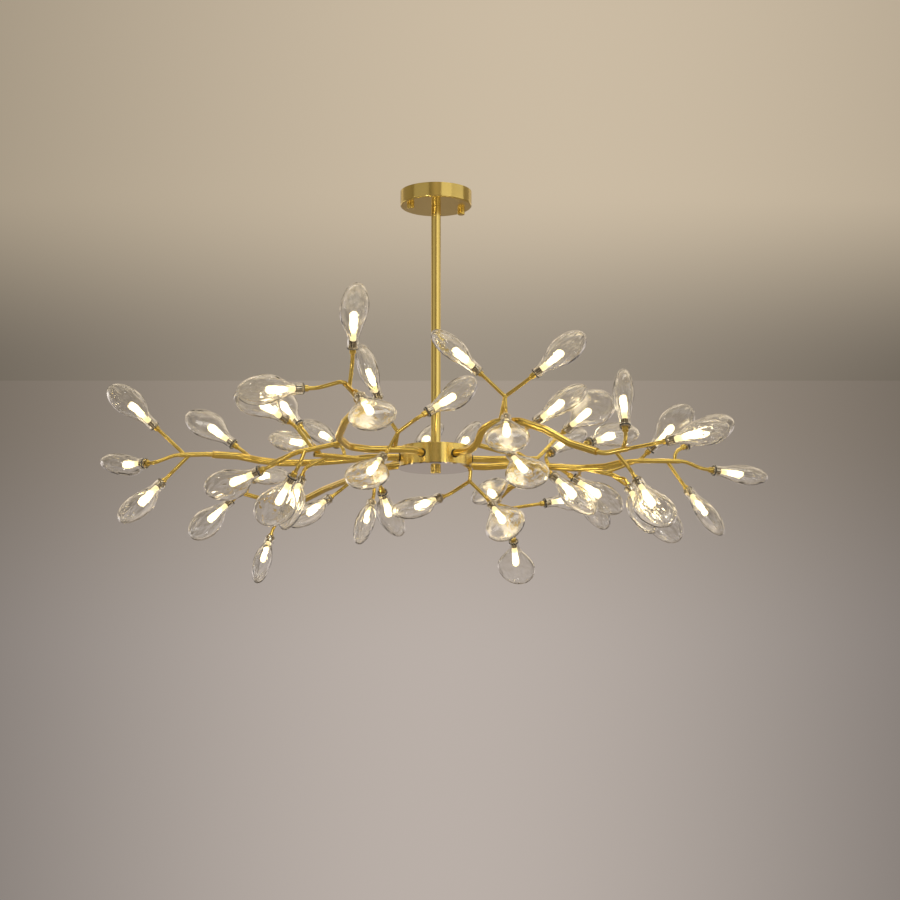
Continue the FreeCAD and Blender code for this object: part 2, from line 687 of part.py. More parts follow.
def write_stem_parts():
    """Down rod, its cable, the hub drum and what it holds, and the cover under it."""
    rod = ring(rod_radius, rod_bore_radius, rod_length, Vector(0, 0, hub_top))
    top_bush = ring(rod_bore_radius, nipple_radius + running_gap, rod_bush_length,
                    Vector(0, 0, rod_top - rod_bush_length))
    low_bush = ring(rod_bore_radius, nipple_radius, rod_bush_length, Vector(0, 0, hub_top))
    save("down_rod", [rod.fuse([top_bush, low_bush]).removeSplitter()])
    stud_bottom = plate_bottom - stud_spare
    stud = ring(nipple_radius, nipple_bore_radius, hub_top + rod_bush_length - stud_bottom,
                Vector(0, 0, stud_bottom))
    window = cylinder(nipple_bore_radius, 3 * nipple_radius, Vector(0, 0, arm_level), Vector(1, 0, 0))
    save("hub_stud", [stud.cut(window)])
    cable_bottom = arm_level - nipple_bore_radius
    save("supply_cable", [cylinder(cable_radius, cable_tail - bar_drop + nut_height - cable_bottom,
                                   Vector(0, 0, cable_bottom))])
    drum = cylinder(hub_radius, hub_height, Vector(0, 0, hub_bottom))
    top_edges = [edge for edge in drum.Edges if edge.BoundBox.ZMin > hub_top - 0.01]
    drum = drum.makeFillet(hub_edge_radius, top_edges)
    cuts = [cylinder(hub_radius - hub_wall, hub_height, Vector(0, 0, hub_bottom - hub_wall)),
            cylinder(nipple_radius, 3 * hub_wall, Vector(0, 0, hub_top - 2 * hub_wall))]
    clamps = []
    grommets = []
    for arm in ARMS:
        angle = math.radians(arm.azimuth)
        outward = Vector(math.cos(angle), math.sin(angle), 0)
        centre = UP * arm_level
        arm_hole_radius = arm_radius + running_gap
        cuts.append(cylinder(arm_hole_radius, hub_radius, centre + outward * (hub_radius / 2), outward))
        clamp = ring(clamp_radius, arm_hole_radius, clamp_length + 2 * hub_wall,
                     centre + outward * (hub_radius - hub_wall - clamp_length), outward)
        inside = cylinder(hub_radius - hub_wall - fixed_gap, hub_height, Vector(0, 0, hub_bottom))
        clamps.append(clamp.common(inside))
        lip = ring(grommet_radius, arm_hole_radius, 2 * grommet_lip,
                   centre + outward * (hub_radius - grommet_lip), outward)
        grommets.append(lip.cut(cylinder(hub_radius + fixed_gap, hub_height, Vector(0, 0, hub_bottom))))
    save("hub_drum", [drum.cut(cuts)])
    save("arm_clamps", clamps)
    save("arm_grommets", grommets)
    nut = hexagon(nut_across_flats, nut_height, Vector(0, 0, hub_top - hub_wall - nut_height))
    nut_bore = cylinder(nipple_radius, 3 * nut_height, Vector(0, 0, hub_top - 3 * nut_height))
    save("hub_nut", [nut.cut(nut_bore)])
    connector = Part.makeBox(connector_width, connector_length, connector_height,
                             Vector(connector_offset - connector_width / 2, -connector_length / 2,
                                    hub_top - hub_wall - connector_height))
    save("hub_connector", [connector])
    plate = cylinder(hub_radius + hub_plate_overhang, hub_plate_thickness, Vector(0, 0, plate_bottom))
    save("hub_cover_plate", [plate.cut(cylinder(nipple_radius + running_gap, 3 * hub_plate_thickness,
                                                Vector(0, 0, plate_bottom - hub_plate_thickness)))])
    finial = cylinder(finial_radius, finial_height, Vector(0, 0, plate_bottom - finial_height))
    low = [edge for edge in finial.Edges if edge.BoundBox.ZMax < plate_bottom - finial_height / 2]
    finial = finial.makeFillet(finial_radius / 4, low)
    bore = cylinder(nipple_radius + running_gap, stud_spare + seat_gap + 1,
                    Vector(0, 0, plate_bottom - stud_spare - seat_gap))
    save("hub_finial", [finial.cut(bore)])


def main():
    """Write every node of the chandelier."""
    os.makedirs("parts", exist_ok=True)
    write_ceiling_parts()
    write_stem_parts()
    light_pieces = (make_ferrule(), make_socket(), make_lamp(), make_shade())
    for arm in ARMS:
        ArmBuilder(arm, light_pieces).write()


main()
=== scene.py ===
"""Branch chandelier: satin brass tubes, a mirror hub plate, lit capsule lamps and blown glass pods."""

import logging
import math
from dataclasses import dataclass
from enum import Enum

import bmesh
import bpy
import numpy as np
from mathutils import Matrix, Vector, noise


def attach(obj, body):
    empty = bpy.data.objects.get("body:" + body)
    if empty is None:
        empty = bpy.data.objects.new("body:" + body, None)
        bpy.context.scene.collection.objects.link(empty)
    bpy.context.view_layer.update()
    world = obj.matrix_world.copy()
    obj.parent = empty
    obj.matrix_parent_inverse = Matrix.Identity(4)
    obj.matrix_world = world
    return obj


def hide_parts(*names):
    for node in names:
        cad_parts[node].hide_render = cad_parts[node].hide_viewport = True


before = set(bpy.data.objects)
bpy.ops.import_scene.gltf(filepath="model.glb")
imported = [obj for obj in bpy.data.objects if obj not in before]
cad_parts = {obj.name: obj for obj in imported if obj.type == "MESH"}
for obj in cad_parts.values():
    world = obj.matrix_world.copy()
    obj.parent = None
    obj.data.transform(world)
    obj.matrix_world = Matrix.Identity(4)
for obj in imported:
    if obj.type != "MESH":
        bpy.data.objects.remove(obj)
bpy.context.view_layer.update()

LOG = logging.getLogger("chandelier")
Colour = tuple[float, float, float]
ARM_NAMES = ("front_left", "left", "rear_left", "front_right", "right", "rear_right")


class Lines(Enum):
    """Which way the fine marks of a metal finish run."""

    SPUN = "rings round the down rod's axis"
    DRAWN = "lengthwise, down the rod"
    RUBBED = "short marks every way"


class Sheet:
    """One material's node tree, with the few moves that the finishes share."""

    NOISE_MIDDLE = (0.3, 0.7)

    def __init__(self, name: str) -> None:
        """Start an empty material.

        Args:
            name: The finish's plain name.
        """
        self.material = bpy.data.materials.new(name)
        self.material.use_nodes = True
        self.tree = self.material.node_tree
        self.tree.nodes.clear()
        self.output = self.tree.nodes.new("ShaderNodeOutputMaterial")

    def node(self, kind: str, **inputs: object) -> bpy.types.Node:
        """Add a node.

        Args:
            kind: Blender's name for the node, without its first words.
            inputs: Values or sockets for its inputs, spaces written as underscores.

        Returns:
            The new node.
        """
        made = self.tree.nodes.new("ShaderNode" + kind)
        for name, value in inputs.items():
            socket = made.inputs[name.replace("_", " ")]
            if isinstance(value, bpy.types.NodeSocket):
                self.tree.links.new(value, socket)
            else:
                socket.default_value = value
        return made

    def place(self) -> bpy.types.NodeSocket:
        """The point's place on the object, in metres."""
        return self.node("TexCoord").outputs["Object"]

    def rings(self, across: float, around: float) -> bpy.types.NodeSocket:
        """A pattern space whose cells are rings round the rod's axis.

        Args:
            across: Cells per metre along the radius and the height.
            around: Cells per metre the other way.

        Returns:
            The socket of that space.
        """
        parts = self.node("SeparateXYZ", Vector=self.place())
        flat = self.node("CombineXYZ", X=parts.outputs["X"], Y=parts.outputs["Y"])
        length = self.tree.nodes.new("ShaderNodeVectorMath")
        length.operation = "LENGTH"
        self.tree.links.new(flat.outputs["Vector"], length.inputs[0])
        radius = self.scaled(length.outputs["Value"], across)
        height = self.scaled(parts.outputs["Z"], across)
        turn = self.scaled(parts.outputs["X"], around)
        return self.node("CombineXYZ", X=radius, Y=turn, Z=height).outputs["Vector"]

    def scaled(self, socket: bpy.types.NodeSocket, factor: float) -> bpy.types.NodeSocket:
        """Multiply a number.

        Args:
            socket: The number's socket.
            factor: What it is multiplied by.

        Returns:
            The socket of the product.
        """
        times = self.tree.nodes.new("ShaderNodeMath")
        times.operation = "MULTIPLY"
        self.tree.links.new(socket, times.inputs[0])
        times.inputs[1].default_value = factor
        return times.outputs["Value"]

    def stretched(self, scale: tuple[float, float, float]) -> bpy.types.NodeSocket:
        """The object's space with its axes scaled, in cells per metre."""
        return self.node("Mapping", Vector=self.place(), Scale=scale).outputs["Vector"]

    def grain(self, space: bpy.types.NodeSocket, scale: float, detail: float = 3.0) -> bpy.types.NodeSocket:
        """Soft noise between 0 and 1 over a pattern space."""
        return self.node("TexNoise", Vector=space, Scale=scale, Detail=detail).outputs["Fac"]

    def span(self, socket: bpy.types.NodeSocket, low: float, high: float) -> bpy.types.NodeSocket:
        """Spread the middle of a noise over a range.

        Args:
            socket: The noise.
            low: The range's start.
            high: The range's end.

        Returns:
            The socket of the spread value.
        """
        start, end = self.NOISE_MIDDLE
        ranged = self.node("MapRange", Value=socket, From_Min=start, From_Max=end, To_Min=low, To_Max=high)
        return ranged.outputs["Result"]

    def tint(self, socket: bpy.types.NodeSocket, low: Colour, high: Colour) -> bpy.types.NodeSocket:
        """Colour a surface between two tones, as a noise says.

        Args:
            socket: The noise.
            low: The colour where the noise is weak.
            high: The colour where it is strong.

        Returns:
            The socket of the colour.
        """
        ramp = self.tree.nodes.new("ShaderNodeValToRGB")
        for element, position, colour in zip(ramp.color_ramp.elements, self.NOISE_MIDDLE, (low, high)):
            element.position = position
            element.color = (*colour, 1.0)
        self.tree.links.new(socket, ramp.inputs["Fac"])
        return ramp.outputs["Color"]

    def bump(self, height: bpy.types.NodeSocket, depth: float, strength: float) -> bpy.types.NodeSocket:
        """A normal tilted by a height pattern that is depth metres deep."""
        return self.node("Bump", Height=height, Distance=depth, Strength=strength).outputs["Normal"]

    def finish(self, shader: bpy.types.NodeSocket) -> bpy.types.Material:
        """Connect the last shader and hand over the material."""
        self.tree.links.new(shader, self.output.inputs["Surface"])
        return self.material


@dataclass(frozen=True)
class MetalFinish:
    """A metal: its colours where rubbed bright and where dulled, its marks and its lacquer."""

    SPUN_CELLS = (2600.0, 9.0)
    DRAWN_CELLS = (1900.0, 1900.0, 14.0)
    RUBBED_CELLS = 2200.0
    STAIN_CELLS = 28.0
    STAIN_DETAIL = 2.0
    MARK_STRENGTH = 0.6
    LACQUER_ROUGHNESS = 0.12
    QUARTER_TURN = 0.25

    name: str
    bright: Colour
    dull: Colour
    roughness: tuple[float, float]
    lines: Lines
    anisotropy: float = 0.0
    mark_depth: float = 0.000001
    lacquer: float = 0.6

    def make(self) -> bpy.types.Material:
        """Build the material.

        Returns:
            A metal with slow changes of tone, fine marks and uneven gloss.
        """
        sheet = Sheet(self.name)
        if self.lines is Lines.SPUN:
            marks = sheet.grain(sheet.rings(*self.SPUN_CELLS), 1.0)
        elif self.lines is Lines.DRAWN:
            marks = sheet.grain(sheet.stretched(self.DRAWN_CELLS), 1.0)
        else:
            marks = sheet.grain(sheet.place(), self.RUBBED_CELLS)
        stains = sheet.grain(sheet.place(), self.STAIN_CELLS, self.STAIN_DETAIL)
        shader = sheet.node(
            "BsdfPrincipled",
            Base_Color=sheet.tint(stains, self.dull, self.bright),
            Metallic=1.0,
            Roughness=sheet.span(stains, *self.roughness),
            Anisotropic=self.anisotropy,
            Anisotropic_Rotation=self.QUARTER_TURN,
            Coat_Weight=self.lacquer,
            Coat_Roughness=self.LACQUER_ROUGHNESS,
            Normal=sheet.bump(marks, self.mark_depth, self.MARK_STRENGTH),
        )
        if self.anisotropy:
            tangent = sheet.tree.nodes.new("ShaderNodeTangent")
            tangent.direction_type = "RADIAL"
            tangent.axis = "Z"
            sheet.tree.links.new(tangent.outputs["Tangent"], shader.inputs["Tangent"])
        return sheet.finish(shader.outputs["BSDF"])


@dataclass(frozen=True)
class MouldedFinish:
    """A plastic or rubber with a faint moulded texture."""

    GRAIN_CELLS = 900.0
    GRAIN_DEPTH = 0.00005
    GRAIN_STRENGTH = 0.4
    CLOUD_CELLS = 60.0

    name: str
    colour: Colour
    shade: Colour
    roughness: tuple[float, float]

    def make(self) -> bpy.types.Material:
        """Build the material.

        Returns:
            A plain moulded surface with a fine grain.
        """
        sheet = Sheet(self.name)
        grain = sheet.grain(sheet.place(), self.GRAIN_CELLS)
        clouds = sheet.grain(sheet.place(), self.CLOUD_CELLS)
        shader = sheet.node(
            "BsdfPrincipled",
            Base_Color=sheet.tint(clouds, self.shade, self.colour),
            Roughness=sheet.span(clouds, *self.roughness),
            Normal=sheet.bump(grain, self.GRAIN_DEPTH, self.GRAIN_STRENGTH),
        )
        return sheet.finish(shader.outputs["BSDF"])


@dataclass(frozen=True)
class BlownGlassFinish:
    """Clear glass blown by hand, which lets its own lamp's light out."""

    name: str = "clear_blown_glass"
    tone: Colour = (0.99, 0.985, 0.97)
    clearest: Colour = (1.0, 1.0, 0.995)
    let_through: Colour = (0.97, 0.96, 0.93)
    ribs: tuple[float, float, float] = (2.4, 2.4, 2.0)
    rib_depth: float = 0.0005
    rib_detail: float = 1.6
    seeds: float = 260.0
    seed_depth: float = 0.00006
    seed_detail: float = 2.0
    seed_strength: float = 0.5
    roughness: tuple[float, float] = (0.0, 0.015)
    bending: float = 1.48

    def make(self) -> bpy.types.Material:
        """Build the material.

        Returns:
            Glass with soft ribs along each pod and small seeds, which casts no dark shadow.
        """
        sheet = Sheet(self.name)
        own = sheet.tree.nodes.new("ShaderNodeAttribute")
        own.attribute_name = GlassPod.OWN
        along = sheet.node("Mapping", Vector=own.outputs["Vector"], Scale=self.ribs).outputs["Vector"]
        ribs = sheet.grain(along, 1.0, self.rib_detail)
        seeds = sheet.grain(sheet.place(), self.seeds, self.seed_detail)
        ribbed = sheet.bump(ribs, self.rib_depth, 1.0)
        seeded = sheet.node("Bump", Height=seeds, Distance=self.seed_depth, Strength=self.seed_strength,
                            Normal=ribbed)
        glass = sheet.node(
            "BsdfPrincipled",
            Base_Color=sheet.tint(ribs, self.tone, self.clearest),
            Roughness=sheet.span(seeds, *self.roughness),
            IOR=self.bending,
            Transmission_Weight=1.0,
            Normal=seeded.outputs["Normal"],
        )
        clear = sheet.node("BsdfTransparent", Color=(*self.let_through, 1.0))
        path = sheet.tree.nodes.new("ShaderNodeLightPath")
        mixed = sheet.tree.nodes.new("ShaderNodeMixShader")
        sheet.tree.links.new(path.outputs["Is Shadow Ray"], mixed.inputs[0])
        sheet.tree.links.new(glass.outputs["BSDF"], mixed.inputs[1])
        sheet.tree.links.new(clear.outputs["BSDF"], mixed.inputs[2])
        return sheet.finish(mixed.outputs["Shader"])


@dataclass(frozen=True)
class GroundRimFinish:
    """The cut mouth of a pod, ground dull, which catches its lamp's light."""

    name: str = "ground_glass_rim"
    tone: Colour = (0.90, 0.87, 0.80)
    palest: Colour = (0.97, 0.95, 0.90)
    grains: float = 1400.0
    roughness: tuple[float, float] = (0.35, 0.5)
    clearness: float = 0.5

    def make(self) -> bpy.types.Material:
        """Build the material.

        Returns:
            A pale frosted surface that lets half of the light through.
        """
        sheet = Sheet(self.name)
        grain = sheet.grain(sheet.place(), self.grains)
        shader = sheet.node(
            "BsdfPrincipled",
            Base_Color=sheet.tint(grain, self.tone, self.palest),
            Roughness=sheet.span(grain, *self.roughness),
            Transmission_Weight=self.clearness,
        )
        return sheet.finish(shader.outputs["BSDF"])


@dataclass(frozen=True)
class CapsuleFinish:
    """The clear sleeve round a lamp's lit core, faintly aglow."""

    name: str = "capsule_sleeve"
    tone: Colour = (1.0, 0.85, 0.50)
    palest: Colour = (1.0, 0.92, 0.68)
    cover: float = 0.5
    glow: float = 1.2
    clouds: float = 400.0
    roughness: tuple[float, float] = (0.12, 0.2)

    def make(self) -> bpy.types.Material:
        """Build the material.

        Returns:
            A mostly clear sleeve with an even, weak light of its own.
        """
        sheet = Sheet(self.name)
        clouds = sheet.grain(sheet.place(), self.clouds)
        shader = sheet.node(
            "BsdfPrincipled",
            Base_Color=sheet.tint(clouds, self.tone, self.palest),
            Roughness=sheet.span(clouds, *self.roughness),
            Emission_Color=(*self.tone, 1.0),
            Emission_Strength=self.glow,
            Alpha=self.cover,
        )
        return sheet.finish(shader.outputs["BSDF"])


@dataclass(frozen=True)
class LampFinish:
    """A lamp's lit core: amber at its foot, yellow above it and white-hot over the rest."""

    name: str = "lit_core"
    amber: Colour = (0.60, 0.48, 0.20)
    yellow: Colour = (1.0, 0.80, 0.30)
    white: Colour = (1.0, 0.92, 0.72)
    amber_end: float = 0.16
    yellow_rise: float = 0.30
    white_rise: float = 0.44
    weakest: float = 0.55
    strongest: float = 6.5
    kindling: tuple[float, float] = (0.14, 0.48)
    frost_cells: float = 1500.0
    frost_depth: float = 0.00003
    frost_strength: float = 0.3
    roughness: tuple[float, float] = (0.35, 0.5)

    def make(self) -> bpy.types.Material:
        """Build the material.

        Returns:
            A frosted surface whose light grows along the lamp, from the mesh's own measure.
        """
        sheet = Sheet(self.name)
        rise = sheet.tree.nodes.new("ShaderNodeAttribute")
        rise.attribute_name = Lamp.RISE
        ramp = sheet.tree.nodes.new("ShaderNodeValToRGB")
        stops = ((0.0, self.amber), (self.amber_end, self.amber), (self.yellow_rise, self.yellow),
                 (self.white_rise, self.white))
        while len(ramp.color_ramp.elements) < len(stops):
            ramp.color_ramp.elements.new(1.0)
        for element, (position, colour) in zip(ramp.color_ramp.elements, stops):
            element.position = position
            element.color = (*colour, 1.0)
        sheet.tree.links.new(rise.outputs["Fac"], ramp.inputs["Fac"])
        start, end = self.kindling
        power = sheet.node("MapRange", Value=rise.outputs["Fac"], From_Min=start, From_Max=end,
                           To_Min=self.weakest, To_Max=self.strongest)
        power.interpolation_type = "SMOOTHSTEP"
        frost = sheet.grain(sheet.place(), self.frost_cells)
        shader = sheet.node(
            "BsdfPrincipled",
            Base_Color=ramp.outputs["Color"],
            Roughness=sheet.span(frost, *self.roughness),
            Emission_Color=ramp.outputs["Color"],
            Emission_Strength=power.outputs["Result"],
            Normal=sheet.bump(frost, self.frost_depth, self.frost_strength),
        )
        return sheet.finish(shader.outputs["BSDF"])


@dataclass(frozen=True)
class LightSeat:
    """Where one light stands: its +Z runs out of the socket, its X across the glass's broad side."""

    place: Matrix
    number: int


class SeatFinder:
    """Reads where each light stands from the plain glass solids of a CAD node."""

    WELD = 0.00001
    RIM_DEPTH = 0.0004

    def __init__(self, node: str) -> None:
        """Read the node's triangles, with the points that lie together made one.

        Args:
            node: Name of a CAD node that holds one or more glass shades.
        """
        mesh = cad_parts[node].data
        points = np.empty(len(mesh.vertices) * 3)
        mesh.vertices.foreach_get("co", points)
        corners = np.empty(len(mesh.loops), dtype=int)
        mesh.loops.foreach_get("vertex_index", corners)
        points = points.reshape(-1, 3)
        kept, welded = np.unique(np.round(points / self.WELD), axis=0, return_inverse=True)
        self.points = kept * self.WELD
        self.triangles = welded.reshape(-1)[corners].reshape(-1, 3)

    def shells(self) -> list[np.ndarray]:
        """Part the triangles into separate solids.

        Returns:
            The triangles of each solid that touches no other.
        """
        label = np.arange(len(self.points))
        while True:
            least = label[self.triangles].min(1)
            spread = label.copy()
            for corner in self.triangles.T:
                np.minimum.at(spread, corner, least)
            spread = spread[spread]
            if (spread == label).all():
                break
            label = spread
        owner = label[self.triangles[:, 0]]
        return [self.triangles[owner == solid] for solid in np.unique(owner)]

    def seat(self, shell: np.ndarray, number: int) -> LightSeat:
        """Where one shade stands.

        Args:
            shell: The triangles of one shade.
            number: A number for the light.

        Returns:
            The seat, whose origin is the middle of the shade's mouth.
        """
        corners = self.points[shell]
        sides = np.cross(corners[:, 1] - corners[:, 0], corners[:, 2] - corners[:, 0])
        areas = np.linalg.norm(sides, axis=1)
        centres = corners.mean(1)
        middle = (centres * areas[:, None]).sum(0) / areas.sum()
        spread = (centres - middle) * np.sqrt(areas)[:, None]
        directions = np.linalg.eigh(spread.T @ spread)[1]
        broad, along = directions[:, 1], directions[:, 2]
        points = self.points[np.unique(shell)]
        if self.end_width(points, -along) < self.end_width(points, along):
            along = -along
        lowest = (points @ along).min()
        rim = points[points @ along < lowest + self.RIM_DEPTH]
        mouth = Vector((rim.min(0) + rim.max(0)) / 2)
        tip = Vector(points[(points @ along).argmax()])
        upward = (tip - mouth).normalized()
        across = Vector(broad)
        across = (across - upward * across.dot(upward)).normalized()
        place = Matrix((across, upward.cross(across), upward)).transposed().to_4x4()
        place.translation = mouth
        return LightSeat(place, number)

    def end_width(self, points: np.ndarray, along: np.ndarray) -> float:
        """Measure how wide one end is.

        Args:
            points: The shade's points.
            along: The way that the end lies.

        Returns:
            The greatest distance of the end's points from their middle.
        """
        rises = points @ along
        end = points[rises > rises.max() - self.RIM_DEPTH]
        return float(np.linalg.norm(end - end.mean(0), axis=1).max())

    def seats(self, first: int) -> list[LightSeat]:
        """One seat for each separate solid of the node, numbered from first."""
        return [self.seat(shell, first + i) for i, shell in enumerate(self.shells())]


def pour(form: bmesh.types.BMesh, gathered: bmesh.types.BMesh) -> None:
    """Add one form to another.

    Args:
        form: The form to add, which is used up.
        gathered: The form that takes it in.
    """
    passing = bpy.data.meshes.new("passing")
    form.to_mesh(passing)
    form.free()
    gathered.from_mesh(passing)
    bpy.data.meshes.remove(passing)


class Piece:
    """A mesh piece gathered from several small forms, smooth shaded, with its place in its mesh."""

    def __init__(self, name: str, materials: list[bpy.types.Material]) -> None:
        """Start an empty piece.

        Args:
            name: The piece's name.
            materials: Its finishes, in the order of the faces' material numbers.
        """
        self.name = name
        self.materials = materials
        self.mesh = bpy.data.meshes.new(name)
        self.gathered = bmesh.new()

    def add(self, form: bmesh.types.BMesh, place: Matrix) -> None:
        """Set one form at a place and add it to the piece, which uses the form up."""
        bmesh.ops.transform(form, matrix=place, verts=form.verts)
        pour(form, self.gathered)

    def done(self, body: str, replaced: str, smooth: bool = True) -> bpy.types.Object:
        """Make the object, let it ride on a body and let it stand for a CAD node.

        Args:
            body: The body that carries the piece.
            replaced: The CAD node that the piece stands for.
            smooth: Whether its faces are shaded as one round surface.

        Returns:
            The finished object.
        """
        for face in self.gathered.faces:
            face.smooth = smooth
        self.gathered.to_mesh(self.mesh)
        self.gathered.free()
        for material in self.materials:
            self.mesh.materials.append(material)
        made = bpy.data.objects.new(self.name, self.mesh)
        bpy.context.scene.collection.objects.link(made)
        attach(made, body)
        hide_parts(replaced)
        LOG.info("%s: %d faces on %s", self.name, len(self.mesh.polygons), body)
        return made


WELD = 0.000001


def turned(outline: list[tuple[float, float]], sides: int) -> bmesh.types.BMesh:
    """A form turned round +Z.

    Args:
        outline: Radius and height of each point, from one end to the other.
        sides: How many sides the turned form has.

    Returns:
        The form, closed where the outline starts or ends on the axis.
    """
    form = bmesh.new()
    verts = [form.verts.new((radius, 0.0, height)) for radius, height in outline]
    edges = [form.edges.new(pair) for pair in zip(verts, verts[1:])]
    bmesh.ops.spin(form, geom=verts + edges, cent=(0, 0, 0), axis=(0, 0, 1), angle=math.tau,
                   steps=sides, use_merge=True)
    bmesh.ops.remove_doubles(form, verts=form.verts, dist=WELD)
    bmesh.ops.recalc_face_normals(form, faces=form.faces)
    return form


@dataclass
class GlassPod:
    """One blown shade: a round neck that opens into a flattened, seed-shaped pod."""

    OWN = "own_place"

    neck_radius: float = 0.0087
    neck_length: float = 0.015
    body_length: float = 0.085
    half_width: float = 0.035
    half_thickness: float = 0.0165
    widest: float = 0.54
    swell: float = 1.4
    wall: float = 0.0014
    neck_rings: int = 4
    swelling_rings: int = 12
    closing_rings: int = 10
    sides: int = 40
    wave_depth: float = 0.0006
    wave_pitch: float = 0.045
    rim_number: int = 1
    rim_share: float = 0.1

    def heights(self) -> list[float]:
        """Space the pod's rings, closer together where it curves most.

        Returns:
            The rings' heights, from the mouth to the tip.
        """
        neck = [self.neck_length * i / self.neck_rings for i in range(self.neck_rings)]
        shoulder = self.widest * self.body_length
        rising = [self.neck_length + shoulder * i / self.swelling_rings for i in range(self.swelling_rings)]
        quarter = [math.pi / 2 * i / self.closing_rings for i in range(self.closing_rings + 1)]
        closing = [self.neck_length + shoulder + (self.body_length - shoulder) * math.sin(a) for a in quarter]
        return neck + rising + closing

    def reach(self, height: float, widest: float) -> float:
        """Half breadth of the pod at a height.

        Args:
            height: The height above the mouth.
            widest: The greatest half breadth on the same side.

        Returns:
            The half breadth there.
        """
        along = (height - self.neck_length) / self.body_length
        if along <= 0:
            return self.neck_radius
        if along < self.widest:
            growth = math.sin(math.pi / 2 * along / self.widest) ** self.swell
            return self.neck_radius + (widest - self.neck_radius) * growth
        closing = (along - self.widest) / (1 - self.widest)
        return widest * math.sqrt(max(0.0, 1 - closing * closing))

    def form(self, number: int) -> bmesh.types.BMesh:
        """Blow one pod.

        Args:
            number: The light's number, which gives the glass its own slow waves.

        Returns:
            The pod with its wall, its mouth at the origin and its tip along +Z.
        """
        heights = self.heights()
        outline = [(self.reach(height, self.half_width), height) for height in heights[:-1]]
        outline.append((0.0, heights[-1]))
        pod = turned(outline, self.sides)
        pod.normal_update()
        shift = Vector((number * 3.1, number * 1.7, number * 0.9))
        for vert in pod.verts:
            height = vert.co.z
            away = min(1.0, max(0.0, (height - self.neck_length) / self.neck_length))
            wave = noise.noise(vert.co / self.wave_pitch + shift) * self.wave_depth * away
            vert.co += vert.normal * wave
            wide = self.reach(height, self.half_width)
            slim = self.reach(height, self.half_thickness)
            vert.co.y *= slim / wide if wide > 0 else self.half_thickness / self.half_width
        bmesh.ops.recalc_face_normals(pod, faces=pod.faces)
        bmesh.ops.solidify(pod, geom=pod.faces[:], thickness=self.wall)
        bmesh.ops.recalc_face_normals(pod, faces=pod.faces)
        for face in pod.faces:
            if face.calc_center_median().z < self.wall * self.rim_share:
                face.material_index = self.rim_number
        self.mark(pod, shift)
        return pod

    def mark(self, pod: bmesh.types.BMesh, shift: Vector) -> None:
        """Keep on each point its way round the pod and along it, for the ribs of the glass.

        Args:
            pod: The pod, with its wall.
            shift: What sets this pod's ribs apart from the others'.
        """
        own = pod.verts.layers.float_vector.new(self.OWN)
        squash = self.half_width / self.half_thickness
        for vert in pod.verts:
            way = Vector((vert.co.x, vert.co.y * squash, 0.0))
            if way.length > 0:
                way.normalize()
            way.z = vert.co.z / self.half_width
            vert[own] = way + shift


@dataclass
class Lamp:
    """One capsule lamp, from its foot in the socket to its domed top."""

    RISE = "rise"

    foot: float = 0.0125
    base_radius: float = 0.0044
    base_length: float = 0.016
    globe_radius: float = 0.0064
    globe_length: float = 0.029
    shoulder: float = 0.013
    pinch: float = 0.0005
    core_radius: float = 0.0043
    core_start: float = 0.001
    core_gap: float = 0.0022
    rib_shares: tuple[float, float, float] = (0.2, 0.35, 0.5)
    dome_rings: int = 8
    sides: int = 28
    sleeve_number: int = 1

    def core_outline(self) -> list[tuple[float, float]]:
        """Draw the lit core's side.

        Returns:
            Radius and height of its points, from its foot to its top.
        """
        start = self.foot + self.core_start
        top = self.foot + self.base_length + self.globe_length - self.core_gap
        dome = top - self.core_radius
        slim = self.base_radius - self.pinch - self.core_start / 2
        points = [(0.0, start), (slim, start), (slim, self.foot + self.base_length / 2),
                  (self.core_radius, self.foot + self.base_length + self.shoulder / 2),
                  (self.core_radius, dome)]
        angles = [math.pi / 2 * i / self.dome_rings for i in range(1, self.dome_rings)]
        points += [(self.core_radius * math.cos(a), dome + self.core_radius * math.sin(a)) for a in angles]
        return points + [(0.0, top)]

    def sleeve_outline(self) -> list[tuple[float, float]]:
        """Draw the sleeve's side.

        Returns:
            Radius and height of its points, from the middle of its foot to its top.
        """
        globe = self.foot + self.base_length
        top = globe + self.globe_length
        dome = top - self.globe_radius
        ribs = [self.foot + self.base_length * share for share in self.rib_shares]
        points = [(0.0, self.foot), (self.base_radius - self.pinch, self.foot),
                  (self.base_radius, self.foot + self.pinch)]
        for rib in ribs:
            points += [(self.base_radius, rib - self.pinch), (self.base_radius - self.pinch, rib),
                       (self.base_radius, rib + self.pinch)]
        points += [(self.base_radius, globe - self.pinch),
                   (self.base_radius + self.pinch, globe + self.pinch),
                   (self.globe_radius - self.pinch, globe + self.shoulder - self.pinch),
                   (self.globe_radius, globe + self.shoulder + self.pinch), (self.globe_radius, dome)]
        angles = [math.pi / 2 * i / self.dome_rings for i in range(1, self.dome_rings)]
        points += [(self.globe_radius * math.cos(a), dome + self.globe_radius * math.sin(a)) for a in angles]
        return points + [(0.0, top)]

    def form(self) -> bmesh.types.BMesh:
        """Turn one lamp, with its rise from 0 at the foot to 1 at the top kept on its points.

        Returns:
            The closed sleeve with the core in it, in the frame of its shade's mouth.
        """
        lamp = turned(self.sleeve_outline(), self.sides)
        for face in lamp.faces:
            face.material_index = self.sleeve_number
        pour(turned(self.core_outline(), self.sides), lamp)
        rise = lamp.verts.layers.float.new(self.RISE)
        for vert in lamp.verts:
            vert[rise] = (vert.co.z - self.foot) / (self.base_length + self.globe_length)
        return lamp


